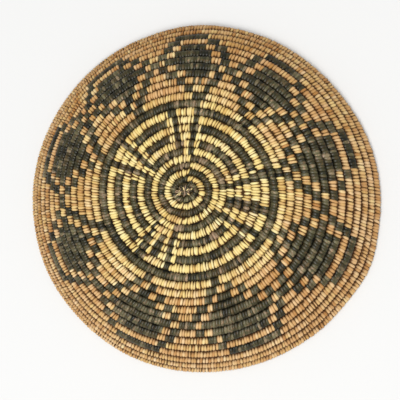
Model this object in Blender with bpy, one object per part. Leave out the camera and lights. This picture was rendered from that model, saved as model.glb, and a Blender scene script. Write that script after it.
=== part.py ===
# Coiled basketry tray, lying rim down with its outer side up.
# One grass coil is wound from the start knot in the middle of the base out to the rim. Each round of the
# coil is bound in its own sleeve of stitching, and the rounds lie side by side.
# Lengths are in metres, +Z is up, and the rim stands on the ground at z = 0.

import math

import bmesh
import bpy
from mathutils import Vector

MM = 0.001

# Sizes of the coil, which starts thin in the middle and is at its full width from the dark ring on
START_RADIUS = 6.5 * MM
START_PITCH = 6.4 * MM
WALL_PITCH = 8.4 * MM
COIL_HEIGHT = 6.9 * MM
STITCH_THICKNESS = 0.75 * MM
CORE_CLEARANCE = 0.35 * MM
COIL_GAP = 0.35 * MM
KNOT_CHAMFER = 0.6 * MM
LEAST_CORE_RADIUS = 0.9 * MM
LEAST_SELF_GAP = 0.4 * MM

# Counts of rounds, with the dark ring as round 0, level rounds inside it and rising ones outside
BASE_ROUNDS = 10
RISING_ROUNDS = 13
INNER_ROUNDS = 4

# The wall turns down evenly, from level at the dark ring to this slope at the rim
RIM_SLOPE = math.radians(54.7)
SLOPE_POWER = 1.2
SLOPE_STEPS_PER_ROUND = 12

# The base winds out evenly. Up the wall each round lies level for longer, then climbs before the seam
SEAM_ANGLE = math.radians(84.0)
RIM_CLIMB_SHARE = 0.16
CLIMB_POWER = 1.5
TIP_SHARE = 0.12

# What the hand of the maker left: rounds a little out of round, a base off the rim's middle, and a wide
# swelling of the wall with a short bump of the rim on it
START_OVAL = 1.2 * MM
RIM_OVAL = 2.4 * MM
OVAL_ANGLE = math.radians(10.0)
START_SHIFT = (-1.5 * MM, 11.0 * MM)
RING_SHIFT = (-0.1 * MM, 9.3 * MM)
RIM_SHIFT = (-1.5 * MM, 0.6 * MM)
SWELLING = 3.2 * MM
SWELLING_ANGLE = math.radians(349.0)
SWELLING_REACH = math.radians(50.0)
SWELLING_ROUNDS = 4
BUMP = 1.5 * MM
BUMP_ANGLE = math.radians(339.0)
BUMP_REACH = math.radians(15.0)
BUMP_POWER = 3.0

# Facets
POINTS_PER_LOOP = 24
INNER_POINTS_PER_LOOP = 12

# Worked out from the sizes above
COIL_SIDES = 6
CORNER_STRETCH = 1.0 / math.cos(math.pi / COIL_SIDES)
RIM_TURN = math.radians(60.0)
FLAT_SHARE = math.sin(RIM_TURN)
START_HALF_WIDTH = (START_PITCH - COIL_GAP) / 2
PITCH_GROWTH = (WALL_PITCH - START_PITCH) / BASE_ROUNDS
DARK_RING_RADIUS = START_RADIUS + BASE_ROUNDS * (START_PITCH + WALL_PITCH) / 2
TAIL_TURN = 1.0 / POINTS_PER_LOOP
FIRST_TURN = -BASE_ROUNDS
LAST_TURN = RISING_ROUNDS + 1 + TAIL_TURN

# Principled colours, linear, with roughness
FINISHES = {
    "straw_splint": ((0.62, 0.42, 0.17), 0.55),
    "tan_splint": ((0.50, 0.29, 0.12), 0.6),
    "dark_splint": ((0.035, 0.042, 0.034), 0.5),
    "grass_bundle": ((0.34, 0.22, 0.10), 0.85),
}


def clear_scene():
    for old in list(bpy.data.objects):
        bpy.data.objects.remove(old, do_unlink=True)


def finish(name):
    colour, roughness = FINISHES[name]
    material = bpy.data.materials.get(name) or bpy.data.materials.new(name)
    material.use_nodes = True
    shader = material.node_tree.nodes["Principled BSDF"]
    shader.inputs["Base Color"].default_value = (*colour, 1.0)
    shader.inputs["Roughness"].default_value = roughness
    shader.inputs["Metallic"].default_value = 0.0
    material.diffuse_color = (*colour, 1.0)
    return material


# Where the coil runs


def smooth(share):
    share = min(max(share, 0.0), 1.0)
    return share * share * (3.0 - 2.0 * share)


def climb(turn):
    """The place of the coil in rounds from the dark ring, at this many turns from its seam."""
    out = min(max(turn / RISING_ROUNDS, 0.0), 1.0)
    since = turn - TAIL_TURN * out
    whole = math.floor(since)
    share = RIM_CLIMB_SHARE + (1.0 - RIM_CLIMB_SHARE) * (1.0 - out) ** CLIMB_POWER
    gone = min(max((since - whole - (1.0 - share)) / share, 0.0), 1.0)
    return whole + gone + (smooth(gone) - gone) * out


def slope(place):
    return RIM_SLOPE * min(max(place / RISING_ROUNDS, 0.0), 1.0) ** SLOPE_POWER


def profile(place):
    """Radius of the coil's centre line, and how far it has come down from the base."""
    if place <= 0.0:
        return DARK_RING_RADIUS + place * WALL_PITCH + place * place * PITCH_GROWTH / 2, 0.0
    steps = max(1, math.ceil(place * SLOPE_STEPS_PER_ROUND))
    stretch = place / steps
    angles = [slope((step + 0.5) * stretch) for step in range(steps)]
    run = sum(math.cos(angle) for angle in angles) * stretch * WALL_PITCH
    drop = sum(math.sin(angle) for angle in angles) * stretch * WALL_PITCH
    return DARK_RING_RADIUS + run, drop


RIM_RADIUS, WALL_DROP = profile(RISING_ROUNDS)
RIM_DROP_PER_ROUND = profile(RISING_ROUNDS)[1] - profile(RISING_ROUNDS - 1)[1]
RIM_RUN_PER_ROUND = profile(RISING_ROUNDS)[0] - profile(RISING_ROUNDS - 1)[0]
RIM_HALF_WIDTH = (math.hypot(RIM_DROP_PER_ROUND, RIM_RUN_PER_ROUND) - COIL_GAP) / 2
RIM_HALF_HEIGHT = RIM_HALF_WIDTH * FLAT_SHARE


def outward(turn):
    angle = SEAM_ANGLE - 2.0 * math.pi * turn
    return Vector((math.cos(angle), math.sin(angle), 0.0))


def wave(turn, place):
    """How far a round lies outside its true circle here: the oval, the swelling and the bump."""
    angle = SEAM_ANGLE - 2.0 * math.pi * turn
    up_wall = min(max(place / RISING_ROUNDS, 0.0), 1.0)
    oval = (START_OVAL + (RIM_OVAL - START_OVAL) * up_wall) * math.cos(2.0 * (angle - OVAL_ANGLE))
    from_swelling = abs(math.remainder(angle - SWELLING_ANGLE, 2.0 * math.pi)) / SWELLING_REACH
    from_bump = abs(math.remainder(angle - BUMP_ANGLE, 2.0 * math.pi)) / BUMP_REACH
    swelling = SWELLING * min(max(1.0 + place / SWELLING_ROUNDS, 0.0), 1.0) * smooth(1.0 - from_swelling)
    return oval + swelling + BUMP * up_wall**BUMP_POWER * smooth(1.0 - from_bump)


def middle(place):
    """The middle of a round, which wanders from the start to the rim."""
    if place <= 0.0:
        near, far, share = START_SHIFT, RING_SHIFT, 1.0 + max(place / BASE_ROUNDS, -1.0)
    else:
        near, far, share = RING_SHIFT, RIM_SHIFT, min(place / RISING_ROUNDS, 1.0)
    return [a + (b - a) * share for a, b in zip(near, far)]


def thickness_share(turn):
    """1 along the coil, falling to TIP_SHARE where the coil runs out on the rim."""
    if turn <= RISING_ROUNDS + TAIL_TURN:
        return 1.0
    return 1.0 - (climb(turn) - RISING_ROUNDS) * (1.0 - TIP_SHARE)


def centre(turn):
    """The coil's centre line. Past the last whole round it thins out level with the rim."""
    place = climb(turn)
    if place > RISING_ROUNDS:
        place = RISING_ROUNDS + (place - RISING_ROUNDS) / 2
        radius = RIM_RADIUS + (place - RISING_ROUNDS) * RIM_RUN_PER_ROUND
        height = RIM_HALF_HEIGHT * thickness_share(turn)
    else:
        radius, drop = profile(place)
        height = RIM_HALF_HEIGHT + WALL_DROP - drop
    x, y = middle(place)
    return outward(turn) * (radius + wave(turn, place)) + Vector((x, y, height))


def spacing(turn, other):
    """Distance between two turns that lie side by side at the same angle."""
    step = centre(other) - centre(turn)
    return math.hypot(step.dot(outward(turn)), step.z)


def half_widths(turn):
    """The coil's reach to its inner and its outer neighbour, each short of it by half the gap."""
    share = thickness_share(turn)
    inner = outer = None
    if turn - 1 >= FIRST_TURN:
        inner = (spacing(turn, turn - 1) - COIL_GAP) * share / (share + thickness_share(turn - 1))
    if turn + 1 <= LAST_TURN:
        outer = (spacing(turn, turn + 1) - COIL_GAP) * share / (share + thickness_share(turn + 1))
    if inner is None:
        inner = START_HALF_WIDTH
    if outer is None:
        outer = inner
    return inner, outer


def section(turn, inset):
    """Six corners round the coil, in space, moved in by the inset. At the rim two flats lie level."""
    inner, outer = half_widths(turn)
    place = climb(turn)
    to_rim = smooth(place - (RISING_ROUNDS - 1))
    mean = (inner + outer) / 2
    half_height = COIL_HEIGHT / 2 * (1.0 - to_rim) + mean * FLAT_SHARE * to_rim
    turned = slope(place) * (1.0 - to_rim) + RIM_TURN * to_rim
    if place >= RISING_ROUNDS:
        inner = outer = min(inner, outer)
        half_height = inner * FLAT_SHARE
    inner -= inset * CORNER_STRETCH
    outer -= inset * CORNER_STRETCH
    half_height -= inset
    corners = (
        (outer, 0.0),
        (outer / 2, half_height),
        (-inner / 2, half_height),
        (-inner, 0.0),
        (-inner / 2, -half_height),
        (outer / 2, -half_height),
    )
    origin = centre(turn)
    along = outward(turn) * math.cos(turned) - Vector((0.0, 0.0, math.sin(turned)))
    across = outward(turn) * math.sin(turned) + Vector((0.0, 0.0, math.cos(turned)))
    placed = [origin + along * a + across * b for a, b in corners]
    if place >= RISING_ROUNDS:
        for corner in (placed[0], placed[5]):
            corner.z = inset
    return placed


def end_gap(turn):
    """Half of the gap between two sleeves that meet end to end, as a share of a turn."""
    radius = profile(climb(turn))[0]
    return COIL_GAP / 2 / (2.0 * math.pi * radius)


def stations(first, last, points):
    """Turns at which the sections stand, on the same angles in every round."""
    count = round((last - first) * points)
    return [first + step / points for step in range(count + 1)]


def points_of(round_number):
    inner = round_number < FIRST_TURN + INNER_ROUNDS
    return INNER_POINTS_PER_LOOP if inner else POINTS_PER_LOOP


# Solids


def loft(mesh, rings):
    """Side faces through rings of corners that run on from one another."""
    for ring, following in zip(rings, rings[1:]):
        for corner in range(len(ring)):
            after = (corner + 1) % len(ring)
            mesh.faces.new((ring[corner], ring[after], following[after], following[corner]))


def collar(mesh, outer, inner):
    """The flat end between a sleeve's outer and inner edge."""
    for corner in range(len(outer)):
        after = (corner + 1) % len(outer)
        mesh.faces.new((outer[corner], outer[after], inner[after], inner[corner]))


def add_object(name, mesh, material):
    bmesh.ops.recalc_face_normals(mesh, faces=mesh.faces)
    data = bpy.data.meshes.new(name)
    mesh.to_mesh(data)
    mesh.free()
    data.materials.append(finish(material))
    made = bpy.data.objects.new(name, data)
    bpy.context.scene.collection.objects.link(made)
    data.shade_smooth()
    data.set_sharp_from_angle(angle=math.radians(30.0))
    return made


def rings_at(mesh, turns, inset):
    return [[mesh.verts.new(corner) for corner in section(turn, inset)] for turn in turns]


def add_sleeve(name, first, last, points, material):
    """The stitching round one turn of the coil: a sleeve with the bore that the core runs through."""
    turns = stations(first, last, points)
    turns[0] += end_gap(first)
    turns[-1] -= end_gap(last)
    mesh = bmesh.new()
    outer = rings_at(mesh, turns, 0.0)
    inner = rings_at(mesh, turns, STITCH_THICKNESS)
    loft(mesh, outer)
    loft(mesh, inner)
    collar(mesh, outer[0], inner[0])
    collar(mesh, outer[-1], inner[-1])
    return add_object(name, mesh, material)


def core_radius(turn):
    return min(half_widths(turn)) - (STITCH_THICKNESS + CORE_CLEARANCE) * CORNER_STRETCH


def core_end():
    """The last station at which the thinning coil still has a core."""
    turns = stations(RISING_ROUNDS, LAST_TURN, POINTS_PER_LOOP)
    return max(turn for turn in turns if core_radius(turn) >= LEAST_CORE_RADIUS)


def add_rim(name, material):
    """The last round, whose bore ends where the coil thins out to its tip."""
    turns = stations(RISING_ROUNDS, LAST_TURN, POINTS_PER_LOOP)
    turns[0] += end_gap(RISING_ROUNDS)
    bored = [turn for turn in turns if turn <= core_end()]
    bored[-1] += end_gap(RISING_ROUNDS) * 2
    mesh = bmesh.new()
    outer = rings_at(mesh, turns, 0.0)
    inner = rings_at(mesh, bored, STITCH_THICKNESS)
    loft(mesh, outer)
    loft(mesh, inner)
    collar(mesh, outer[0], inner[0])
    mesh.faces.new(outer[-1])
    mesh.faces.new(inner[-1])
    return add_object(name, mesh, material)


def core_stations():
    turns = []
    for number in range(FIRST_TURN, RISING_ROUNDS + 1):
        last = number + 1 if number < RISING_ROUNDS else core_end()
        turns += stations(number, last, points_of(number))[:-1]
    turns.append(core_end())
    turns[0] += end_gap(FIRST_TURN)
    return turns


def add_core(name, material):
    """The grass bundle, one unbroken tube from the start knot to the rim."""
    turns = core_stations()
    mesh = bmesh.new()
    rings = rings_at(mesh, turns, STITCH_THICKNESS + CORE_CLEARANCE)
    loft(mesh, rings)
    mesh.faces.new(rings[0])
    mesh.faces.new(rings[-1])
    return add_object(name, mesh, material)


def least_core_gap():
    """The core's least gap to its own next turn, over all its points."""
    inset = (STITCH_THICKNESS + CORE_CLEARANCE) * CORNER_STRETCH
    gaps = []
    for turn in core_stations():
        if turn + 1 > core_end():
            continue
        reach = half_widths(turn)[1] + half_widths(turn + 1)[0] - 2 * inset
        gaps.append(spacing(turn, turn + 1) - reach)
    return min(gaps)


def add_knot(name, material):
    """The first turn, wound solid: its edge follows the inside of the first round, stepped at the seam."""
    turns = stations(FIRST_TURN, FIRST_TURN + 1, INNER_POINTS_PER_LOOP)
    turns[0] += end_gap(FIRST_TURN)
    turns[-1] -= end_gap(FIRST_TURN + 1) * 2
    levels = ((-COIL_HEIGHT / 2, KNOT_CHAMFER), (0.0, 0.0), (COIL_HEIGHT / 2, KNOT_CHAMFER))
    mesh = bmesh.new()
    rings = []
    for level, inset in levels:
        ring = []
        for turn in turns:
            reach = START_HALF_WIDTH + COIL_GAP + inset
            ring.append(mesh.verts.new(centre(turn) - outward(turn) * reach + Vector((0.0, 0.0, level))))
        rings.append(ring)
    loft(mesh, rings)
    mesh.faces.new(rings[0])
    mesh.faces.new(rings[-1])
    return add_object(name, mesh, material)


# The tray


def dark_round(number):
    """Rounds of the base that are dark all the way or nearly so, counted from the dark ring."""
    return number in (-10, -8, -6, 0)


def build():
    clear_scene()
    add_knot("start_knot", "dark_splint")
    for number in range(-BASE_ROUNDS, 0):
        material = "dark_splint" if dark_round(number) else "straw_splint"
        name = f"base_round_{number + BASE_ROUNDS + 1:02d}"
        add_sleeve(name, number, number + 1, points_of(number), material)
    add_sleeve("dark_ring_round", 0, 1, POINTS_PER_LOOP, "dark_splint")
    for number in range(1, RISING_ROUNDS):
        add_sleeve(f"wall_round_{number:02d}", number, number + 1, POINTS_PER_LOOP, "tan_splint")
    add_rim("rim_round", "tan_splint")
    add_core("foundation_coil", "grass_bundle")
    gap = least_core_gap()
    base_top = RIM_HALF_HEIGHT + WALL_DROP + COIL_HEIGHT / 2
    wide_enough = gap > LEAST_SELF_GAP
    print(f"foundation coil: least gap to itself {gap / MM:.2f} mm, wide enough: {wide_enough}")
    print(f"rim: centre line radius {RIM_RADIUS / MM:.1f} mm. Base: top at {base_top / MM:.1f} mm")


build()
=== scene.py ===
import math

import bpy
import numpy as np
from mathutils import Matrix, Vector


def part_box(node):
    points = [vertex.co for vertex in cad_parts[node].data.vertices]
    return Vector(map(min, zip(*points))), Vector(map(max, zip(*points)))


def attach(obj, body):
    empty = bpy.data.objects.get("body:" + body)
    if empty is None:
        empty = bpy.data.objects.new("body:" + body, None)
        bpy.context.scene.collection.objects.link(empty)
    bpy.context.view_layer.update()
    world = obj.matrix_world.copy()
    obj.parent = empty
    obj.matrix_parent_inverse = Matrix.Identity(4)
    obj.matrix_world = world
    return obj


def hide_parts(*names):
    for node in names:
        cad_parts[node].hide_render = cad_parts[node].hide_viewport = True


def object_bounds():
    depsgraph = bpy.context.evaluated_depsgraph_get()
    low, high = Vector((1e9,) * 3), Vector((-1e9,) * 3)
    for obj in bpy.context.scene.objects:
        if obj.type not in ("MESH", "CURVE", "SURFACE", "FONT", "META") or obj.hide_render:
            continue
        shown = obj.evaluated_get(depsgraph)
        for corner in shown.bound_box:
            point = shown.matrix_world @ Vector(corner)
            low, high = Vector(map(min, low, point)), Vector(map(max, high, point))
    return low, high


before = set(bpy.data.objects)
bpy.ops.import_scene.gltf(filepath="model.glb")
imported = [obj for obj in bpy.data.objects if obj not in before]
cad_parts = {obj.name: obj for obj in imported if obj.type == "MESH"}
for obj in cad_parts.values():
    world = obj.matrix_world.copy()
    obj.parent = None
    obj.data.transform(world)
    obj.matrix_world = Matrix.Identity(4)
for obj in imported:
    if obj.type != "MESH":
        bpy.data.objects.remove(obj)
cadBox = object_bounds()
print(f"frame loaded: {len(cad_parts)} nodes")

mm = 0.001
rng = np.random.default_rng(24)

# The coil: where it runs and how wide it is. It is the CAD model's, but for the dents
coil = {
    "startRadius": 6.5 * mm,
    "startPitch": 6.4 * mm,        # width of the coil at the start knot
    "wallPitch": 8.4 * mm,         # and from the dark ring outward
    "height": 6.9 * mm,
    "gap": 0.35 * mm,              # between two rounds
    "baseRounds": 10,              # inside the dark ring
    "risingRounds": 13,            # outside it
    "rimSlope": math.radians(54.7),
    "slopePower": 1.2,             # over 1, so the wall turns down later
    "footAngle": math.radians(60.0),   # round the CAD model's section, where the rim stands on the ground
    "seamAngle": math.radians(84.0),
    "rimClimbShare": 0.16,         # of a turn, in which the coil climbs to the next round at the rim
    "climbPower": 1.5,
    "tailTurn": 1.0 / 24,          # how far the coil runs on past the seam
    "tipShare": 0.12,              # of the coil's thickness, left at its end
    "startOval": 1.2 * mm,
    "rimOval": 2.4 * mm,
    "ovalAngle": math.radians(10.0),
    "startShift": (-1.5 * mm, 11.0 * mm),   # middles of the first round, the dark ring and the rim
    "ringShift": (-0.1 * mm, 9.3 * mm),
    "rimShift": (-1.5 * mm, 0.6 * mm),
    "swelling": 3.2 * mm,
    "swellingAngle": math.radians(349.0),
    "swellingReach": math.radians(50.0),
    "swellingRounds": 4,           # of the base, over which it sets in
    "bump": 1.5 * mm,              # of the rim
    "bumpAngle": math.radians(339.0),
    "bumpReach": math.radians(15.0),
    "bumpPower": 3.0,
    # Dents and bulges of the last rounds: place and reach in degrees, and mm outward
    "dents": ((90.0, 22.0, 2.0), (42.0, 34.0, -1.8), (145.0, 34.0, -1.0), (205.0, 22.0, 0.8),
              (245.0, 24.0, 0.6), (280.0, 20.0, -0.5), (316.0, 18.0, 0.7), (338.0, 16.0, 1.2)),
    "dentPower": 8.0,              # over 1, so that they fade fast from the rim inward
}

firstTurn = -coil["baseRounds"]
lastTurn = coil["risingRounds"] + 1 + coil["tailTurn"]


def smooth(share):
    share = np.clip(share, 0.0, 1.0)
    return share * share * (3.0 - 2.0 * share)


def upWall(place):
    return np.clip(place / coil["risingRounds"], 0.0, 1.0)


def climb(turn):
    # Place of the coil in rounds from the dark ring: level for a while, then up to the next round
    out = upWall(turn)
    since = turn - coil["tailTurn"] * out
    whole = np.floor(since)
    share = coil["rimClimbShare"] + (1.0 - coil["rimClimbShare"]) * (1.0 - out) ** coil["climbPower"]
    gone = np.clip((since - whole - (1.0 - share)) / share, 0.0, 1.0)
    return whole + gone + (smooth(gone) - gone) * out


def slope(place):
    return coil["rimSlope"] * upWall(place) ** coil["slopePower"]


# The wall's profile, in steps small enough to add up: outward run and drop from the dark ring
stepsPerRound = 24
profileSteps = np.linspace(0.0, coil["risingRounds"], coil["risingRounds"] * stepsPerRound + 1)
profileSlopes = slope((profileSteps[1:] + profileSteps[:-1]) / 2)
profileStretch = coil["wallPitch"] * np.diff(profileSteps)
profileRun = np.append(0.0, np.cumsum(np.cos(profileSlopes) * profileStretch))
profileDrop = np.append(0.0, np.cumsum(np.sin(profileSlopes) * profileStretch))
ringRadius = coil["startRadius"] + coil["baseRounds"] * (coil["startPitch"] + coil["wallPitch"]) / 2
pitchGrowth = (coil["wallPitch"] - coil["startPitch"]) / coil["baseRounds"]
rimRunStep = profileRun[-1] - profileRun[-1 - stepsPerRound]
rimDropStep = profileDrop[-1] - profileDrop[-1 - stepsPerRound]
rimHalfHeight = (math.hypot(rimRunStep, rimDropStep) - coil["gap"]) / 2 * math.sin(coil["footAngle"])


def angleAt(turn):
    return coil["seamAngle"] - 2.0 * math.pi * turn


def outwardAt(turn):
    angle = angleAt(turn)
    return np.stack([np.cos(angle), np.sin(angle), np.zeros_like(angle)], -1)


def nearness(angle, at, reach):
    away = np.abs((angle - at + math.pi) % (2.0 * math.pi) - math.pi)
    return smooth(1.0 - away / reach)


def wave(turn, place):
    # Out of round: the oval, the swelling of the wall, the bump of the rim and its dents
    angle = angleAt(turn)
    oval = coil["startOval"] + (coil["rimOval"] - coil["startOval"]) * upWall(place)
    rising = np.clip(1.0 + place / coil["swellingRounds"], 0.0, 1.0)
    swelling = coil["swelling"] * rising * nearness(angle, coil["swellingAngle"], coil["swellingReach"])
    bump = coil["bump"] * upWall(place) ** coil["bumpPower"]
    bump = bump * nearness(angle, coil["bumpAngle"], coil["bumpReach"])
    dents = sum(
        amount * mm * nearness(angle, math.radians(at), math.radians(reach))
        for at, reach, amount in coil["dents"]
    )
    dents = dents * upWall(place) ** coil["dentPower"]
    return oval * np.cos(2.0 * (angle - coil["ovalAngle"])) + swelling + bump + dents


def thickness(turn):
    # 1 along the coil, falling where the coil runs out on the rim
    past = np.clip(climb(turn) - coil["risingRounds"], 0.0, 1.0)
    return 1.0 - past * (1.0 - coil["tipShare"])


def centre(turn):
    # Point on the middle line of the coil
    turn = np.asarray(turn, float)
    place = climb(turn)
    past = np.clip(place - coil["risingRounds"], 0.0, None) / 2
    place = np.minimum(place, coil["risingRounds"])
    level = np.minimum(place, 0.0)
    inner = ringRadius + level * coil["wallPitch"] + level * level * pitchGrowth / 2
    radius = inner + np.interp(place, profileSteps, profileRun) + past * rimRunStep
    z = rimHalfHeight + profileDrop[-1] - np.interp(place, profileSteps, profileDrop)
    z = np.where(past > 0.0, rimHalfHeight * thickness(turn), z)
    inShare = (1.0 + np.clip(place / coil["baseRounds"], -1.0, 0.0))[..., None]
    outShare = upWall(place)[..., None]
    start, ring, rim = (np.array(coil[name]) for name in ("startShift", "ringShift", "rimShift"))
    middle = start + (ring - start) * inShare + (rim - ring) * outShare
    point = outwardAt(turn) * (radius + wave(turn, place + past))[..., None]
    point[..., :2] += middle
    point[..., 2] += z
    return point


def spacing(turn, other):
    step = centre(other) - centre(turn)
    return np.hypot(np.sum(step * outwardAt(turn), -1), step[..., 2])


def halfWidths(turn):
    # Reach of the coil to its inner and its outer neighbour, short of both by half of the gap
    share = thickness(turn)
    inside = np.maximum(turn - 1, firstTurn)
    outside = np.minimum(turn + 1, lastTurn)
    inner = (spacing(turn, inside) - coil["gap"]) * share / (share + thickness(inside))
    outer = (spacing(turn, outside) - coil["gap"]) * share / (share + thickness(outside))
    inner = np.where(turn - 1 < firstTurn, (coil["startPitch"] - coil["gap"]) / 2, inner)
    outer = np.where(turn + 1 > lastTurn, inner, outer)
    last = climb(turn) >= coil["risingRounds"]
    outer = np.where(last, np.minimum(inner, outer), outer)
    return np.where(last, outer, inner), outer


def axesAt(turn):
    # Across the coil along the wall, and square to the wall
    place = climb(turn)
    turned = slope(place)[..., None]
    out = outwardAt(turn)
    up = np.array([0.0, 0.0, 1.0])
    return out * np.cos(turned) - up * np.sin(turned), out * np.sin(turned) + up * np.cos(turned)


# The pattern, in degrees clockwise from the seam. Nine petals stand round the wall, rounds 1 to 10
petals = {
    "lastRound": 10,
    "stems": (34.5, 71.5, 110.0, 155.5, 200.5, 243.5, 286.0, 323.0, 359.5),
    "stemHalf": 2.7,
    # Light gaps between the petals where they are widest
    "gaps": ((11.5, 15.0), (49.0, 51.5), (86.0, 90.5), (126.0, 130.5), (172.0, 178.5),
             (217.0, 223.5), (259.0, 264.5), (301.5, 303.0), (338.0, 340.5)),
    # Petals on the ninth round, and on the tenth
    "shoulders": ((19.0, 40.5), (56.0, 77.0), (94.0, 117.0), (137.5, 163.5), (184.0, 209.0),
                  (229.0, 251.0), (270.0, 294.5), (308.5, 328.5), (345.5, 367.5)),
    "tops": ((22.5, 37.0), (59.0, 73.5), (97.0, 114.5), (140.0, 160.0), (186.5, 205.0),
             (231.5, 247.5), (271.5, 291.0), (310.5, 327.0), (347.5, 364.0)),
    "opening": (0.0, 0.28, 0.53, 0.79, 1.0, 1.0),   # how far each round has opened, from stem to full width
    "closing": (0.12, 0.53, 1.0),                   # and closed again, from there to the shoulders
    # Widths of the dark outline and of the light line inside it, by round
    "outline": {2: 4.9, 3: 4.4, 4: 4.5, 5: 3.9, 6: 0.0, 7: 3.5, 8: 3.6, 9: 3.6},
    "lining": {3: 4.4, 4: 4.1, 5: 3.8, 6: 3.6, 7: 3.5, 8: 3.15},
    "barRound": 6,
    "sharedBar": 0.5,                               # the bar between two petals passes the gap by this
}
# On the base, four sectors of light and dark arcs and five light spokes between them, from beside the dark
# ring in to the fifth round. Each is the degrees of its two edges, at the dark ring and on the fifth round
base = {
    "sectorRounds": 5,
    "sectors": (((3.3, 5.4), (68.3, 72.8)), ((116.4, 121.5), (187.8, 187.3)),
                ((216.3, 220.3), (282.6, 281.3)), ((302.2, 302.3), (340.6, 342.0))),
    "sectorEnds": {-2: 3.8, -4: 5.7},               # light blocks at both ends of the dark arcs
    "spokes": (((74.2, 79.8), (92.9, 89.3)), ((100.0, 103.5), (112.1, 112.5)),
               ((192.8, 194.0), (209.2, 215.2)), ((287.0, 288.2), (298.0, 296.3)),
               ((345.8, 348.8), (359.0, 357.6))),
    "check": (200.0, 205.5),                        # dark check within the third spoke
    "checkRounds": (-2, -3, -4),
    "innerSpokes": ((0.0, 2.6), (80.0, 115.2), (194.1, 217.8), (286.0, 297.0), (348.2, 358.6)),
    "innerSpokeRound": -6,
    "lightRounds": (-7, -9),
    "darkRounds": (-8, -10, 0),
}


def within(degrees, start, end):
    return (degrees - start) % 360.0 < end - start


def petalEdges(number, index):
    # Outer edges of one petal on this round
    stem = petals["stems"][index]
    shoulders = petals["shoulders"][index]
    before = petals["gaps"][index][1]
    after = petals["gaps"][(index + 1) % len(petals["stems"])][0]
    after += 360.0 if after < stem else 0.0
    opened = len(petals["opening"])
    if number <= opened:
        share = petals["opening"][number - 1]
        low, high = stem - petals["stemHalf"], stem + petals["stemHalf"]
        return low + (before - low) * share, high + (after - high) * share
    share = petals["closing"][number - opened - 1]
    return before + (shoulders[0] - before) * share, after + (shoulders[1] - after) * share


def petalDark(number, degrees):
    dark = np.zeros(degrees.shape, bool)
    for index, top in enumerate(petals["tops"]):
        if number == petals["lastRound"]:
            dark |= within(degrees, *top)
            continue
        low, high = petalEdges(number, index)
        dark |= within(degrees, low, high)
        outline = petals["outline"].get(number)
        if outline is not None:
            dark &= ~within(degrees, low + outline, high - outline)
        if number in petals["lining"]:
            inset = outline + petals["lining"][number]
            dark |= within(degrees, low + inset, high - inset)
    if number == petals["barRound"]:
        for start, end in petals["gaps"]:
            dark |= within(degrees, start - petals["sharedBar"], end + petals["sharedBar"])
    return dark


def baseDark(number, degrees):
    if number in base["darkRounds"]:
        return np.ones(degrees.shape, bool)
    light = np.full(degrees.shape, number in base["lightRounds"])
    if number == base["innerSpokeRound"]:
        for spoke in base["innerSpokes"]:
            light |= within(degrees, *spoke)
    if number >= -base["sectorRounds"]:
        inward = (-1 - number) / (base["sectorRounds"] - 1)
        for (lowOut, lowIn), (highOut, highIn) in base["sectors"]:
            low = lowOut + (lowIn - lowOut) * inward
            high = highOut + (highIn - highOut) * inward
            end = base["sectorEnds"].get(number, high - low)
            light |= within(degrees, low, low + end) | within(degrees, high - end, high)
        for (lowOut, lowIn), (highOut, highIn) in base["spokes"]:
            low = lowOut + (lowIn - lowOut) * inward
            high = highOut + (highIn - highOut) * inward
            light |= within(degrees, low, high)
        if number in base["checkRounds"]:
            light &= ~within(degrees, *base["check"])
    return ~light


def isDark(number, degrees):
    if number <= 0:
        return baseDark(number, degrees)
    if number <= petals["lastRound"]:
        return petalDark(number, degrees)
    return np.zeros(degrees.shape, bool)


# Colours, in sRGB hex, and the one function that adds a node
def toLinear(code):
    channels = [int(code[i:i + 2], 16) / 255.0 for i in (1, 3, 5)]
    return tuple(c / 12.92 if c <= 0.04045 else ((c + 0.055) / 1.055) ** 2.4 for c in channels) + (1.0,)


def addNode(material, kind, settings=None, links=None):
    node = material.node_tree.nodes.new(kind)
    for key, value in (settings or {}).items():
        if key == "stops":
            elements = node.color_ramp.elements
            while len(elements) < len(value):
                elements.new(0.5)
            for element, (position, colour) in zip(elements, value):
                element.position = position
                element.color = toLinear(colour)
        elif isinstance(key, int) or key in node.inputs:
            node.inputs[key].default_value = value
        else:
            setattr(node, key, value)
    for key, socket in (links or {}).items():
        material.node_tree.links.new(socket, node.inputs[key])
    return node


def newMaterial(look):
    material = bpy.data.materials.new(look["name"])
    material.use_nodes = True
    shader = material.node_tree.nodes["Principled BSDF"]
    shader.inputs["Roughness"].default_value = look["roughness"]
    shader.inputs["IOR"].default_value = look["ior"]
    shader.inputs["Specular IOR Level"].default_value = look["specular"]
    return material, shader


# Split willow, scraped smooth: satin, straw where the light never reached it, tan where hands did
willowSplint = {
    "name": "split_willow_splint_satin",
    "roughness": 0.5,
    "ior": 1.48,                 # of cellulose
    "specular": 0.35,
    "fresh": ("#D0AD60", "#EAD58B", "#EEE2AA"),     # darkest, middle and lightest stitches
    "aged": ("#AA7539", "#CCA16A", "#E3C395"),
    # painted shade: the colour that the edges and ends of each stitch are darkened towards, standing in for
    # the shadow in the grooves
    "groove": "#482205",
    "grooveShare": 1.0,
    "fibreShade": (0.84, 1.1),   # darkest and lightest fibres, times the stitch's colour
    "fleckShare": 0.35,
    "bump": 0.1 * mm,
}
# Split seed pod, dyed by the plant itself: near black, browner where the dark skin has worn off
podSplint = {
    "name": "split_seed_pod_splint_satin",
    "roughness": 0.36,
    "ior": 1.48,
    "specular": 0.34,
    "fresh": ("#161709", "#3B381F", "#716A4B"),
    "aged": ("#30240F", "#564324", "#A88A6E"),
    # painted shade: the colour that the edges and ends of each stitch are darkened towards, standing in for
    # the shadow in the grooves
    "groove": "#090803",
    "grooveShare": 0.95,
    "fibreShade": (0.5, 1.45),
    "fleckShare": 0.9,
    "bump": 0.14 * mm,
}
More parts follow.
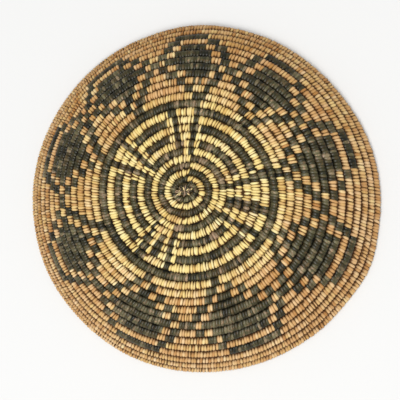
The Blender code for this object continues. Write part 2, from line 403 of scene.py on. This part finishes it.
# What both kinds of splint share
splint = {
    "fibre": 0.35 * mm,          # a fibre is finer, and is drawn coarse enough to show
    "alongFibre": 1.2,           # steps of noise to a radian round the coil: few, so that fibres are long
    "apart": 7.31,               # steps of noise from one stitch to the next, so that no two are alike
    "fibreNoise": (0.3, 0.7),    # the part of the noise that is used
    "fibreRoughness": 0.6,
    "fleck": 2.6 * mm,           # worn flecks are a few millimetres across
    "fleckNoise": (0.52, 0.72),
    "bumpStrength": 0.3,
}
rampPlaces = (0.0, 0.5, 1.0)     # of a ramp's three colours


def splintMaterial(look):
    material, shader = newMaterial(look)
    names = ("tone", "aged", "depth", "across", "along", "stitchNumber")
    value = {
        name: addNode(material, "ShaderNodeAttribute", {"attribute_name": name}).outputs["Fac"]
        for name in names
    }
    fresh = addNode(material, "ShaderNodeValToRGB", {"stops": list(zip(rampPlaces, look["fresh"]))},
                    {0: value["tone"]})
    aged = addNode(material, "ShaderNodeValToRGB", {"stops": list(zip(rampPlaces, look["aged"]))},
                   {0: value["tone"]})
    # Flecks of the other age
    place = addNode(material, "ShaderNodeTexCoord")
    flecks = addNode(material, "ShaderNodeTexNoise", {"Scale": 1.0 / splint["fleck"], "Detail": 1.0},
                     {"Vector": place.outputs["Object"]})
    low, high = splint["fleckNoise"]
    fleck = addNode(material, "ShaderNodeMapRange", {1: low, 2: high, 4: look["fleckShare"]},
                    {0: flecks.outputs[0]})
    age = addNode(material, "ShaderNodeMath", {"operation": "ADD", "use_clamp": True},
                  {0: value["aged"], 1: fleck.outputs[0]})
    colour = addNode(material, "ShaderNodeMix", {"data_type": "RGBA"},
                     {0: age.outputs[0], 6: fresh.outputs[0], 7: aged.outputs[0]})
    # Fibres along the stitch: noise on the stitch's own measures
    measures = addNode(material, "ShaderNodeCombineXYZ", {},
                       {"X": value["across"], "Y": value["along"], "Z": value["stitchNumber"]})
    fibres = addNode(material, "ShaderNodeTexNoise",
                     {"Scale": 1.0, "Detail": 2.0, "Roughness": splint["fibreRoughness"]},
                     {"Vector": measures.outputs[0]})
    low, high = splint["fibreNoise"]
    darkest, lightest = look["fibreShade"]
    shade = addNode(material, "ShaderNodeMapRange", {1: low, 2: high, 3: darkest, 4: lightest},
                    {0: fibres.outputs[0]})
    lined = addNode(material, "ShaderNodeMix", {"data_type": "RGBA", "blend_type": "MULTIPLY", 0: 1.0},
                    {6: colour.outputs[2], 7: shade.outputs[0]})
    # Painted shade: the edges and the ends of a stitch are darkened towards the groove colour, where shadow
    # falls between the stitches
    shadow = addNode(material, "ShaderNodeMath", {"operation": "MULTIPLY", 1: look["grooveShare"]},
                     {0: value["depth"]})
    paintedShadeMix = addNode(material, "ShaderNodeMix", {"data_type": "RGBA", 7: toLinear(look["groove"])},
                    {0: shadow.outputs[0], 6: lined.outputs[2]})
    material.node_tree.links.new(paintedShadeMix.outputs[2], shader.inputs["Base Color"])
    bump = addNode(material, "ShaderNodeBump",
                   {"Strength": splint["bumpStrength"], "Distance": look["bump"]},
                   {"Height": fibres.outputs[0]})
    material.node_tree.links.new(bump.outputs[0], shader.inputs["Normal"])
    return material


# Dry grass, not scraped: matt and dark brown, seen only in the gaps between the stitches
dryGrass = {
    "name": "dry_grass_stems_matt",
    "roughness": 0.85,
    "ior": 1.48,
    "specular": 0.3,
    "stems": ("#2E1E0C", "#4F3414", "#755024"),
    "underDarkColour": "#12110A",          # darker where it lies under dark splints
}


def grassMaterial(look):
    material, shader = newMaterial(look)
    stem = addNode(material, "ShaderNodeAttribute", {"attribute_name": "stem"})
    soot = addNode(material, "ShaderNodeAttribute", {"attribute_name": "soot"})
    stems = addNode(material, "ShaderNodeValToRGB", {"stops": list(zip(rampPlaces, look["stems"]))},
                    {0: stem.outputs["Fac"]})
    colour = addNode(material, "ShaderNodeMix", {"data_type": "RGBA", 7: toLinear(look["underDarkColour"])},
                     {0: soot.outputs["Fac"], 6: stems.outputs[0]})
    material.node_tree.links.new(colour.outputs[2], shader.inputs["Base Color"])
    return material


materials = {
    "light": splintMaterial(willowSplint),
    "dark": splintMaterial(podSplint),
    "grass": grassMaterial(dryGrass),
}
print(f"materials: {len(materials)} made")


def makeMesh(name, points, faces, values):
    # Quads alone, with one value a point under each attribute's name
    mesh = bpy.data.meshes.new(name)
    mesh.vertices.add(len(points))
    mesh.vertices.foreach_set("co", points.astype(np.float32).ravel())
    mesh.loops.add(faces.size)
    mesh.loops.foreach_set("vertex_index", faces.astype(np.int32).ravel())
    mesh.polygons.add(len(faces))
    mesh.polygons.foreach_set("loop_start", np.arange(0, faces.size, 4, dtype=np.int32))
    mesh.polygons.foreach_set("use_smooth", np.ones(len(faces), bool))
    for key, value in values.items():
        attribute = mesh.attributes.new(key, "FLOAT", "POINT")
        attribute.data.foreach_set("value", value.astype(np.float32).ravel())
    mesh.update(calc_edges=True)
    mesh.validate()
    made = bpy.data.objects.new(name, mesh)
    bpy.context.scene.collection.objects.link(made)
    return made


def dress(piece, material, node):
    piece.data.materials.append(material)
    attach(piece, "root")
    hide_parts(node)


def gridFaces(rows, columns):
    # Quads between rows of points, each row closed on itself
    row = np.arange(rows - 1)[:, None] * columns
    here = np.arange(columns)[None, :]
    after = (here + 1) % columns
    return np.stack([row + here, row + columns + here, row + columns + after, row + after], -1).reshape(-1, 4)


def rounded(angle, power):
    # An oval between a circle (2) and a square (large powers)
    cosine, sine = np.cos(angle), np.sin(angle)
    return np.sign(cosine) * np.abs(cosine) ** (2.0 / power), np.sign(sine) * np.abs(sine) ** (2.0 / power)


# Every stitch, wound once round the coil
stitch = {
    "first": 0.004,              # turns from the start of the coil to the first one
    "basePitch": 2.74 * mm,      # from one stitch to the next, on the base
    "rimPitch": 3.1 * mm,        # and at the rim
    "pitchRounds": (2.0, 10.0),  # of the wall, over which the pitch changes
    "fan": 3.0 * mm,             # the pitch is kept this far outside the middle of the coil
    "leastRadius": 5.0 * mm,
    "baseEnd": (-1.0, 3.0),      # rounds over which the base's way of stitching turns into the wall's
    "widthShare": {"light": 1.0, "dark": 1.18},      # of the pitch, where the stitch is widest
    "endShare": {"light": 0.55, "dark": 0.95},       # of that width, in the groove between two rounds
    "crown": {"light": 0.46 * mm, "dark": 0.28 * mm},   # how far the middle stands above the shoulders
    "side": 0.6 * mm,            # how far the edges reach down to the bundle
    "baseLean": 0.18,            # of the rim's pitch, gained on the way over the outer face of the base
    "wallLean": 0.3,             # and of the wall
    "leanSwing": 0.42,           # more of it on one side of the rim, less on the other
    "leanAt": math.radians(130.0),
    "leanRise": 1.4,             # the swing is full five sevenths of the way up the wall
    "innerGap": 0.06,            # of the pitch, left open more near the start, where the stitches fan out
    "slipShare": 0.05,           # of the light stitches, drawn so tight that a dark gap stays beside them
    "slip": 0.35,                # of the pitch, that such a stitch is narrower
    "squareness": 2.1,           # of the section's outline
    "baseLap": {"light": 0.45 * mm, "dark": 0.15 * mm},   # how far a stitch reaches over the round before
    "rimLap": {"light": 1.0 * mm, "dark": 1.3 * mm},
    "outerLap": 0.05 * mm,       # and towards the round after
    "lapRise": 1.5,              # the laps are full two thirds of the way up the wall
    "leanSide": 0.6,             # how much sooner the outer flank falls away up the wall
    "fullSide": 0.35,            # and how much later the inner one does
    "around": 18,                # points round the coil
    "longestRun": 16,            # stitches made with one splint
}
# How unevenly the hand worked: the spread of each trait, as a share where no unit is named
unevenness = {
    "colourShare": {"light": 1.0, "dark": 0.5},      # of the spreads of width and place: dark is more even
    "splintWidth": 0.02,
    "wallWidth": 0.06,
    "baseWidth": 0.03,           # added on the base
    "wallPlace": 0.08,
    "basePlace": 0.05,           # added on the base
    "endShare": 0.08,
    "lean": 0.15,
    "taper": 0.12,
    "liftInMm": 0.11,
    "twistInMm": 0.1,
    "baseRagged": 0.7 * mm,      # how unevenly the ends reach into the next rounds
    "wallRagged": 0.45 * mm,
    "outerRagged": 0.6,          # share of that at the outer ends
}
# Places where hands and years have browned the splints
stains = {
    "count": 30,
    "reach": (8.0 * mm, 20.0 * mm),
    "strength": (0.5, 1.0),
    "nearest": 24.0 * mm,        # to the start knot
    "farthest": 110.0 * mm,
    "onLight": 0.4,              # share of a stain that the light splints take
}
# Ages and tones of the splints, each from 0 to 1
ageing = {
    "tan": ((-0.2, 3.4, 0.72), (4.5, 3.0, 0.13)),    # first round, rounds that it takes, and how much
    "handled": 0.24,             # the side that was held is redder
    "handledAt": math.radians(324.0),
    "handledReach": math.radians(60.0),
    "ageSpread": 0.12,
    "splintAgeSpread": 0.1,
    "tone": 0.5,
    "toneSpread": {"light": 0.17, "dark": 0.23},
    "splintToneSpread": 0.09,
    "shade": 0.22,               # painted shade: one side of the wall is darker, where less light falls
    "paintedShadeAt": math.radians(115.0),
}
# Painted shade on a stitch, where shadow falls: its edges, and its ends under the next round, wider from the
# base to the rim
paintedGrooveShade = {
    "outerFrom": 0.7,            # cosine round the section where the outer end's shadow starts
    "outerSooner": 0.6,          # how much lower that cosine is up the wall
    "outerWidth": 0.3,           # from there to the cosine where the shadow is full
    "outerWider": 0.2,           # added to that up the wall
    "innerPower": 5.0,           # the inner end's shadow is narrower for more
    "innerWider": 1.0,           # taken off that power up the wall
    "ends": 0.95,
    "endsMean": 1.05,            # times this, with its spread, from stitch to stitch
    "endsSpread": 0.2,
    "edges": 0.28,
    "edgePower": 3,
}
stitchAcross = np.array([-1.0, -0.72, 0.0, 0.72, 1.0])
stitchAround = np.linspace(0.0, 2.0 * math.pi, stitch["around"], endpoint=False)


def radiusAt(turn):
    # Half of the way to the point of the coil half a turn before
    across = np.hypot(*(centre(turn) - centre(turn - 0.5))[..., :2].T)
    return np.maximum(across / 2, stitch["leastRadius"])


def pitchAt(turn):
    first, last = stitch["pitchRounds"]
    share = np.clip((climb(turn) - first) / (last - first), 0.0, 1.0)
    pitch = stitch["basePitch"] + (stitch["rimPitch"] - stitch["basePitch"]) * share
    return pitch * radiusAt(turn) / (radiusAt(turn) + stitch["fan"])


def turnsEvery(lengthAt, start, end):
    # Turns that follow each other at the wanted length along the coil
    samples = 24000
    fine = np.linspace(start, end, samples)
    middle = (fine[1:] + fine[:-1]) / 2
    passed = np.append(0.0, np.cumsum(2.0 * math.pi * radiusAt(middle) / lengthAt(middle) * np.diff(fine)))
    return np.interp(np.arange(int(passed[-1])), passed, fine)


def lapShare(turns):
    # 0 on the base, where a stitch keeps to its round, to 1 where it laps over the round before
    return np.clip(stitch["lapRise"] * upWall(climb(turns)), 0.0, 1.0)


def hasNext(turns):
    # Whether another round lies outside
    return turns + 1 <= lastTurn


def sectionAt(turns, theta):
    # Round on the base. Up the wall the inner flank is fuller, and laps over the leaner outer flank
    # of the round before
    cosine, sine = rounded(theta, stitch["squareness"])
    out = (lapShare(turns) * hasNext(turns))[:, None]
    power = np.where(cosine > 0.0, 1.0 + stitch["leanSide"] * out, 1.0 - stitch["fullSide"] * out)
    return cosine, np.sign(sine) * np.abs(sine) ** power


def stitchGeometry(turns, traits):
    # Points of whole stitches: stitch, step around the coil, step across the stitch
    theta, across = stitchAround, stitchAcross
    column = {key: value[:, None, None] for key, value in traits.items()}
    ease = np.abs(np.sin(theta))[None, :, None]               # 1 on the faces, 0 in the grooves
    width = column["width"] * (column["endShare"] + (1.0 - column["endShare"]) * ease)
    width = width * (1.0 + column["taper"] * np.cos(theta)[None, :, None])
    face = np.where(np.sin(theta) < 0.0, -1.0, 1.0)           # -1 inside the tray
    # Inside the tray a stitch is ahead by its whole lean, so that it passes over the rim unbroken
    shift = column["lean"] * stitch["rimPitch"] * (face * np.cos(theta) + 1.0 - face)[None, :, None] / 2
    roundLength = 2.0 * math.pi * radiusAt(turns)[:, None, None]
    place = turns[:, None, None] + (shift + width * across / 2) / roundLength
    flat = np.clip(place, firstTurn, lastTurn).reshape(-1)
    edges = -stitch["side"] * (np.abs(across) == 1.0)
    grow = column["lift"] + column["twist"] * across + edges + column["crown"] * (across == 0.0)
    grow = np.broadcast_to(grow, place.shape).reshape(-1)
    inner, outer = halfWidths(turns)
    cosine, sine = sectionAt(turns, theta)
    cosine = np.broadcast_to(cosine[None, :, None], place.shape)
    sine = np.broadcast_to(sine[:, :, None], place.shape).reshape(-1)
    inner = inner[:, None, None] + column["reachIn"]
    outer = outer[:, None, None] + column["reachOut"]
    reach = np.where(cosine > 0, outer, inner).reshape(-1)
    cosine = cosine.reshape(-1)
    along, square = axesAt(flat)
    points = centre(flat) + along * (cosine * (reach + grow * np.abs(cosine)))[:, None]
    points += square * (sine * (coil["height"] / 2 * thickness(flat) + grow))[:, None]
    points[:, 2] = np.maximum(points[:, 2], 0.0)
    return points.reshape(len(turns), -1, 3)


def stitchFaces(count):
    # Quads between the points across one step of a stitch and those across the next step
    wide = len(stitchAcross)
    ring = np.arange(stitch["around"])[:, None] * wide
    after = (ring + wide) % (stitch["around"] * wide)
    step = np.arange(wide - 1)[None, :]
    one = np.stack([ring + step, after + step, after + step + 1, ring + step + 1], -1).reshape(-1, 4)
    first = np.arange(count) * stitch["around"] * wide
    return (one[None] + first[:, None, None]).reshape(-1, 4)


def splintRuns(count):
    # Stitches made with one splint share its colour and width
    runs = np.zeros(count, int)
    at = run = 0
    while at < count:
        length = int(rng.integers(stitch["longestRun"] // 2, stitch["longestRun"] + 1))
        runs[at:at + length] = run
        at += length
        run += 1
    return runs, run


def stainAt(points):
    stained = np.zeros(len(points))
    for _ in range(stains["count"]):
        angle = rng.uniform(0.0, 2.0 * math.pi)
        radius = rng.uniform(stains["nearest"], stains["farthest"])
        middle = radius * np.array([math.cos(angle), math.sin(angle)])
        away = np.hypot(*(points[:, :2] - middle - coil["startShift"]).T)
        near = smooth(1.0 - away / rng.uniform(*stains["reach"]))
        stained = np.maximum(stained, near * rng.uniform(*stains["strength"]))
    return stained


def nodeOf(number):
    if number < 0:
        return f"base_round_{number + coil['baseRounds'] + 1:02d}"
    if number == 0:
        return "dark_ring_round"
    if number < coil["risingRounds"]:
        return f"wall_round_{number:02d}"
    return "rim_round"


def darkAt(turns):
    # Number of the round, degrees clockwise from the seam, and whether the pattern is dark there
    numbers = np.clip(np.floor(turns).astype(int), firstTurn, coil["risingRounds"])
    degrees = (turns - numbers) * 360.0
    dark = np.zeros(len(turns), bool)
    for number in range(firstTurn, coil["risingRounds"] + 1):
        inRound = numbers == number
        dark[inRound] = isDark(number, degrees[inRound])
    return numbers, degrees, dark


def byColour(dark, values):
    return np.where(dark, values["dark"], values["light"])


def stitchTraits(turns, degrees, dark, onBase, runs, runCount):
    count = len(turns)
    ragged = unevenness["wallRagged"] + (unevenness["baseRagged"] - unevenness["wallRagged"]) * onBase
    uneven = byColour(dark, unevenness["colourShare"])
    share = byColour(dark, stitch["widthShare"])
    share = share + rng.normal(0.0, unevenness["splintWidth"], runCount)[runs]
    share = share - stitch["innerGap"] * smooth(-climb(turns) / coil["baseRounds"])
    lean = stitch["wallLean"] + (stitch["baseLean"] - stitch["wallLean"]) * onBase
    swing = stitch["leanSwing"] * smooth(upWall(climb(turns)) * stitch["leanRise"])
    swing = swing * np.cos(np.radians(degrees) - stitch["leanAt"])
    baseLap, rimLap = byColour(dark, stitch["baseLap"]), byColour(dark, stitch["rimLap"])
    lap = baseLap + (rimLap - baseLap) * lapShare(turns)
    slipped = np.where(~dark & (rng.random(count) < stitch["slipShare"]), stitch["slip"], 0.0)
    widthSpread = uneven * (unevenness["wallWidth"] + unevenness["baseWidth"] * onBase)
    return {
        "width": pitchAt(turns) * (share - slipped + rng.normal(0.0, widthSpread)),
        "endShare": byColour(dark, stitch["endShare"]) + rng.normal(0.0, unevenness["endShare"], count),
        "crown": byColour(dark, stitch["crown"]),
        "lean": lean + swing + rng.normal(0.0, unevenness["lean"], count),
        "taper": rng.normal(0.0, unevenness["taper"], count),
        "lift": rng.normal(0.0, unevenness["liftInMm"], count) * mm,
        "twist": rng.normal(0.0, unevenness["twistInMm"], count) * mm,
        "reachIn": rng.normal(lap, ragged),
        "reachOut": rng.normal(stitch["outerLap"], ragged * unevenness["outerRagged"]),
    }


def stitchColours(turns, dark, runs, runCount):
    # Age and tone of each stitch
    count = len(turns)
    stained = stainAt(centre(turns))
    tanned = sum(
        amount * smooth((climb(turns) - first) / rounds)
        for first, rounds, amount in ageing["tan"]
    )
    handled = nearness(angleAt(turns), ageing["handledAt"], ageing["handledReach"])
    tanned *= 1.0 + ageing["handled"] * handled
    aged = np.where(dark, stained, tanned + stains["onLight"] * stained)
    aged = aged + rng.normal(0.0, ageing["ageSpread"], count)
    aged += rng.normal(0.0, ageing["splintAgeSpread"], runCount)[runs]
    tone = rng.normal(ageing["tone"], ageing["splintToneSpread"], runCount)[runs]
    tone = tone + rng.normal(0.0, byColour(dark, ageing["toneSpread"]))
    # Painted shade: the tone is lowered up the wall on one side, where less light falls
    paintedSideShade = np.maximum(np.cos(angleAt(turns) - ageing["paintedShadeAt"]), 0.0)
    tone -= ageing["shade"] * upWall(climb(turns)) * paintedSideShade
    return np.clip(aged, 0.0, 1.0), np.clip(tone, 0.0, 1.0)


def stitchPaintedShade(turns):
    # Painted shade at each point, from 0 to 1, for how deep in shadow it lies: stitch, step around the coil,
    # step across the stitch
    out = lapShare(turns)[:, None]
    cosine = np.cos(stitchAround)
    begun = cosine - paintedGrooveShade["outerFrom"] + paintedGrooveShade["outerSooner"] * out
    outerEnd = smooth(begun / (paintedGrooveShade["outerWidth"] + paintedGrooveShade["outerWider"] * out))
    outerEnd = outerEnd * hasNext(turns)[:, None]
    innerEnd = np.abs(cosine) ** (paintedGrooveShade["innerPower"] - paintedGrooveShade["innerWider"] * out)
    ends = paintedGrooveShade["ends"] * np.where(cosine > 0.0, outerEnd, innerEnd)
    ends = ends * rng.normal(paintedGrooveShade["endsMean"], paintedGrooveShade["endsSpread"], (len(turns), 1))
    # painted shade along both edges of each stitch
    edges = paintedGrooveShade["edges"] * np.abs(stitchAcross) ** paintedGrooveShade["edgePower"]
    return np.clip(ends[:, :, None] + edges, 0.0, 1.0).reshape(len(turns), -1)


def makeStitches():
    turns = turnsEvery(pitchAt, firstTurn + stitch["first"], lastTurn)
    count = len(turns)
    runs, runCount = splintRuns(count)
    numbers, degrees, dark = darkAt(turns)
    first, last = stitch["baseEnd"]
    onBase = 1.0 - smooth((climb(turns) - first) / (last - first))
    traits = stitchTraits(turns, degrees, dark, onBase, runs, runCount)
    placeSpread = unevenness["wallPlace"] + unevenness["basePlace"] * onBase
    placeSpread = byColour(dark, unevenness["colourShare"]) * placeSpread
    places = turns + rng.normal(0.0, placeSpread) * np.gradient(turns)
    points = stitchGeometry(places, traits)
    aged, tone = stitchColours(turns, dark, runs, runCount)
    # Painted shade for each point of the stitches, where shadow falls in the grooves
    depth = stitchPaintedShade(turns)
    # Places across and along the stitch, in steps of the fibres' noise
    grid = (stitch["around"], len(stitchAcross))
    across = np.broadcast_to(stitchAcross * stitch["basePitch"] / 2 / splint["fibre"], grid).reshape(-1)
    along = np.broadcast_to((stitchAround * splint["alongFibre"])[:, None], grid).reshape(-1)
    size = points.shape[1]
    pieces = 0
    for number in range(firstTurn, coil["risingRounds"] + 1):
        for name, chosen in (("light", (numbers == number) & ~dark), ("dark", (numbers == number) & dark)):
            found = int(chosen.sum())
            if not found:
                continue
            values = {
                "tone": np.repeat(tone[chosen], size),
                "aged": np.repeat(aged[chosen], size),
                "stitchNumber": np.repeat(np.nonzero(chosen)[0] * splint["apart"], size),
                "depth": depth[chosen],
                "across": np.tile(across, found),
                "along": np.tile(along, found),
            }
            label = f"{name}_stitches_{nodeOf(number)}"
            piece = makeMesh(label, points[chosen].reshape(-1, 3), stitchFaces(found), values)
            dress(piece, materials[name], nodeOf(number))
            pieces += 1
    print(f"stitches: {count} in {pieces} pieces")


# The coil of dry grass inside the stitches, in one unbroken piece
bundle = {
    "inset": 0.6 * mm,           # below the stitches' shoulders, though it fills the grooves
    "ends": (0.01, 0.03),        # turns that it stops short of the coil's ends
    "around": 20,
    "step": 2.4 * mm,
    "stems": 9,
    "ridge": 0.18 * mm,
    "twist": 40.0,               # radians a turn of the coil, so that the stems wind a little
    "lowest": 0.4 * mm,          # above the ground
}


def makeBundle():
    startGap, endGap = bundle["ends"]
    turns = turnsEvery(lambda turn: bundle["step"], firstTurn + startGap, lastTurn - endGap)
    theta = np.linspace(0.0, 2.0 * math.pi, bundle["around"], endpoint=False)
    cosine, sine = sectionAt(turns, theta)
    stems = np.sin(bundle["stems"] * theta[None, :] + turns[:, None] * bundle["twist"])
    inner, outer = halfWidths(turns)
    reach = np.where(cosine[None, :] > 0, outer[:, None], inner[:, None]) + coil["gap"] / 2
    height = (coil["height"] / 2 - bundle["inset"]) * thickness(turns)[:, None]
    along, square = axesAt(turns)
    points = centre(turns)[:, None] + along[:, None] * (cosine * (reach + stems * bundle["ridge"]))[..., None]
    points += square[:, None] * (sine * (height + stems * bundle["ridge"]))[..., None]
    points[..., 2] = np.maximum(points[..., 2], bundle["lowest"])
    faces = gridFaces(len(turns), bundle["around"])
    # darker where the stitches over it are dark
    soot = np.repeat(darkAt(turns)[2], bundle["around"])
    values = {"stem": 0.5 + 0.5 * stems, "soot": soot}
    piece = makeMesh("grass_bundle_coil", points.reshape(-1, 3), faces, values)
    dress(piece, materials["grass"], "foundation_coil")
    print(f"grass bundle: {len(turns)} steps")


# The start: a small wad bound with spokes, and frayed ends of splint over it and over the first round
knot = {
    "around": 32,
    "rings": 15,
    "wadSquareness": 2.6,
    "wadLook": (0.3, 0.2),       # tone and age, as on the stitches
    "sunk": 0.5 * mm,            # top of the wad, below the strands
    "spokes": 11,                # first stitches, from the middle out over the first round
    "spokeReach": (0.6 * mm, 4.8 * mm),
    "spokeUneven": 0.3,          # of the angle between two
    "spokeSpreadInMm": 0.4,
    "spokeHeightInMm": (-0.25, 0.05),
    "spokeTone": (0.1, 0.6),
    "spokeAge": 0.3,
    # Frayed ends: how many, how far they spread, about what place from the middle of the wad, and their
    # tone and age
    "strands": {
        "dark": {"count": 16, "spread": (8.0 * mm, 8.0 * mm), "at": (0.0, 0.0), "look": (0.3, 0.2)},
        "worn": {"count": 14, "spread": (7.6 * mm, 3.8 * mm), "at": (-0.6 * mm, -2.0 * mm),
                 "look": (0.85, 0.85)},
        "light": {"count": 9, "spread": (7.6 * mm, 3.8 * mm), "at": (-0.6 * mm, -2.0 * mm),
                  "look": (0.7, 0.3)},
    },
    "strandLength": (2.8 * mm, 5.4 * mm),
    "strandWidth": (0.8 * mm, 1.5 * mm),
    "strandThickness": 0.7 * mm,
    "strandHeightInMm": (0.0, 0.6),
    "strandSwerve": 0.8,         # radians off the way out from the middle
    "strandTaper": 0.6,
    "strandBendInMm": 0.4,
    "strandDroop": 0.9 * mm,     # at both ends
    "strandSteps": 9,
    "strandAround": 8,
    "fibres": 4.0,               # steps of the fibres' noise over a strand
}


def splintValues(count, tone, aged):
    # The same attributes as on the stitches
    values = {name: np.zeros(count) for name in ("depth", "stitchNumber")}
    values.update({name: rng.random(count) * knot["fibres"] for name in ("across", "along")})
    values.update({"tone": np.full(count, tone), "aged": np.full(count, aged)})
    return values


def makeWad(middle, half):
    rising = np.linspace(-math.pi / 2, math.pi / 2, knot["rings"])
    theta = np.linspace(0.0, 2.0 * math.pi, knot["around"], endpoint=False)
    radius, height = rounded(rising, knot["wadSquareness"])
    shape = np.stack([
        radius[:, None] * np.cos(theta),
        radius[:, None] * np.sin(theta),
        np.broadcast_to(height[:, None], (knot["rings"], knot["around"])),
    ], -1)
    points = (middle + shape * half).reshape(-1, 3)
    faces = gridFaces(knot["rings"], knot["around"])[:, ::-1]
    return makeMesh("start_knot_wad", points, faces, splintValues(len(points), *knot["wadLook"]))


def makeStrand(label, place, angle, length, width, look):
    # A flat strip, bent down at both of its ends
    steps = np.linspace(-1.0, 1.0, knot["strandSteps"])
    section = np.linspace(0.0, 2.0 * math.pi, knot["strandAround"], endpoint=False)
    forward = np.array([math.cos(angle), math.sin(angle), 0.0])
    sideways = np.array([-math.sin(angle), math.cos(angle), 0.0])
    half = width / 2 * (1.0 - knot["strandTaper"] * steps ** 4)
    line = place + forward * (steps * length / 2)[:, None]
    line = line + sideways * (rng.normal(0.0, knot["strandBendInMm"]) * mm * steps ** 2)[:, None]
    line[:, 2] -= knot["strandDroop"] * steps ** 4
    ring = sideways * (np.cos(section) * half[:, None])[..., None]
    ring[..., 2] += np.sin(section) * knot["strandThickness"] / 2
    points = (line[:, None] + ring).reshape(-1, 3)
    return makeMesh(label, points, gridFaces(len(steps), len(section)), splintValues(len(points), *look))


def makeSpokes(middle, top):
    near, far = knot["spokeReach"]
    for index in range(knot["spokes"]):
        turned = rng.uniform(-knot["spokeUneven"], knot["spokeUneven"])
        angle = 2.0 * math.pi * (index + turned) / knot["spokes"]
        length = far - near + rng.normal(0.0, knot["spokeSpreadInMm"]) * mm
        away = (near + length / 2) * np.array([math.cos(angle), math.sin(angle)])
        height = top + rng.uniform(*knot["spokeHeightInMm"]) * mm
        place = np.array([middle[0] + away[0], middle[1] + away[1], height])
        width = rng.uniform(*knot["strandWidth"])
        look = (rng.uniform(*knot["spokeTone"]), knot["spokeAge"])
        spoke = makeStrand(f"start_knot_spoke_{index + 1:02d}", place, angle, length, width, look)
        dress(spoke, materials["dark"], "start_knot")


def makeStrands(middle, top):
    made = 0
    for kind, strands in knot["strands"].items():
        colour = "light" if kind == "light" else "dark"
        for _ in range(strands["count"]):
            away = rng.uniform(-1.0, 1.0, 2) * strands["spread"] + strands["at"]
            height = top + rng.uniform(*knot["strandHeightInMm"]) * mm
            place = np.array([middle[0] + away[0], middle[1] + away[1], height])
            angle = math.atan2(away[1], away[0]) + rng.normal(0.0, knot["strandSwerve"])
            length = rng.uniform(*knot["strandLength"])
            width = rng.uniform(*knot["strandWidth"])
            made += 1
            label = f"start_knot_strand_{made:02d}"
            strand = makeStrand(label, place, angle, length, width, strands["look"])
            dress(strand, materials[colour], "start_knot")
    return made


def makeKnot():
    lowest, highest = (np.array(corner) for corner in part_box("start_knot"))
    middle = (lowest + highest) / 2
    half = (highest - lowest) / 2 - (0.0, 0.0, knot["sunk"])
    top = cadBox[1][2]
    dress(makeWad(middle, half), materials["dark"], "start_knot")
    makeSpokes(middle, top)
    made = makeStrands(middle, top)
    print(f"start knot: {knot['spokes']} spokes and {made} strands")


makeStitches()
makeBundle()
makeKnot()


# The floor, the lights and the camera
studio = {
    "floor": {"name": "matt_paper_backdrop", "roughness": 0.9, "ior": 1.48, "specular": 0.3},
    "floorSize": 6.0,
    "floorColour": "#D6D6D5",
    "world": "#FFFFFF",
    "worldStrength": 0.54,
    "lamps": {
        "overhead_softbox": {"power": 32.5, "size": 1.6, "place": (0.1, 0.0, 2.5)},
        "key_softbox": {"power": 75.0, "size": 1.8, "place": (-0.3, -2.0, 3.3)},
    },
}
view = {
    "target": (6.5 * mm, 1.4 * mm, 25.0 * mm),
    "distance": 950.0 * mm,
    "tilt": math.radians(14.0),
    "azimuth": math.radians(5.66),
    "lens": 85.5,
    "sensor": 36.0,
    "clip": (0.05, 20.0),
}


def makeFloor():
    # Paper, matt and a little grey, wide enough to fill the view
    material, shader = newMaterial(studio["floor"])
    shader.inputs["Base Color"].default_value = toLinear(studio["floorColour"])
    half = studio["floorSize"] / 2
    corners = np.array([(-half, -half, 0), (half, -half, 0), (half, half, 0), (-half, half, 0)], float)
    floor = makeMesh("floor", corners, np.array([[0, 1, 2, 3]]), {})
    floor.data.materials.append(material)


def makeLights():
    world = bpy.data.worlds.new("soft_studio")
    bpy.context.scene.world = world
    world.use_nodes = True
    background = world.node_tree.nodes["Background"]
    background.inputs["Color"].default_value = toLinear(studio["world"])
    background.inputs["Strength"].default_value = studio["worldStrength"]
    for name, lamp in studio["lamps"].items():
        data = bpy.data.lights.new(name, "AREA")
        data.shape = "DISK"
        data.size = lamp["size"]
        data.energy = lamp["power"]
        softbox = bpy.data.objects.new(name, data)
        bpy.context.scene.collection.objects.link(softbox)
        softbox.location = lamp["place"]
        softbox.rotation_euler = Vector(lamp["place"]).to_track_quat("Z", "Y").to_euler()


def makeCamera():
    # Nearly overhead, tilted toward the azimuth, with the photograph's upright kept
    data = bpy.data.cameras.new("camera")
    data.lens = view["lens"]
    data.sensor_width = view["sensor"]
    data.clip_start, data.clip_end = view["clip"]
    camera = bpy.data.objects.new("camera", data)
    bpy.context.scene.collection.objects.link(camera)
    azimuth, tilt = view["azimuth"], view["tilt"]
    outward = Vector((math.cos(azimuth), math.sin(azimuth), 0.0))
    back = outward * math.sin(tilt) + Vector((0.0, 0.0, math.cos(tilt)))
    along = outward * math.cos(tilt) - Vector((0.0, 0.0, math.sin(tilt)))
    side = Vector((-outward.y, outward.x, 0.0))
    right = along * outward.x - side * outward.y
    up = along * outward.y + side * outward.x
    place = Vector(view["target"]) + back * view["distance"]
    camera.matrix_world = Matrix((
        (right.x, up.x, back.x, place.x),
        (right.y, up.y, back.y, place.y),
        (right.z, up.z, back.z, place.z),
        (0.0, 0.0, 0.0, 1.0),
    ))
    bpy.context.scene.camera = camera


makeFloor()
makeLights()
makeCamera()
bpy.context.scene.view_settings.view_transform = "Standard"
print("floor, lights and camera placed")
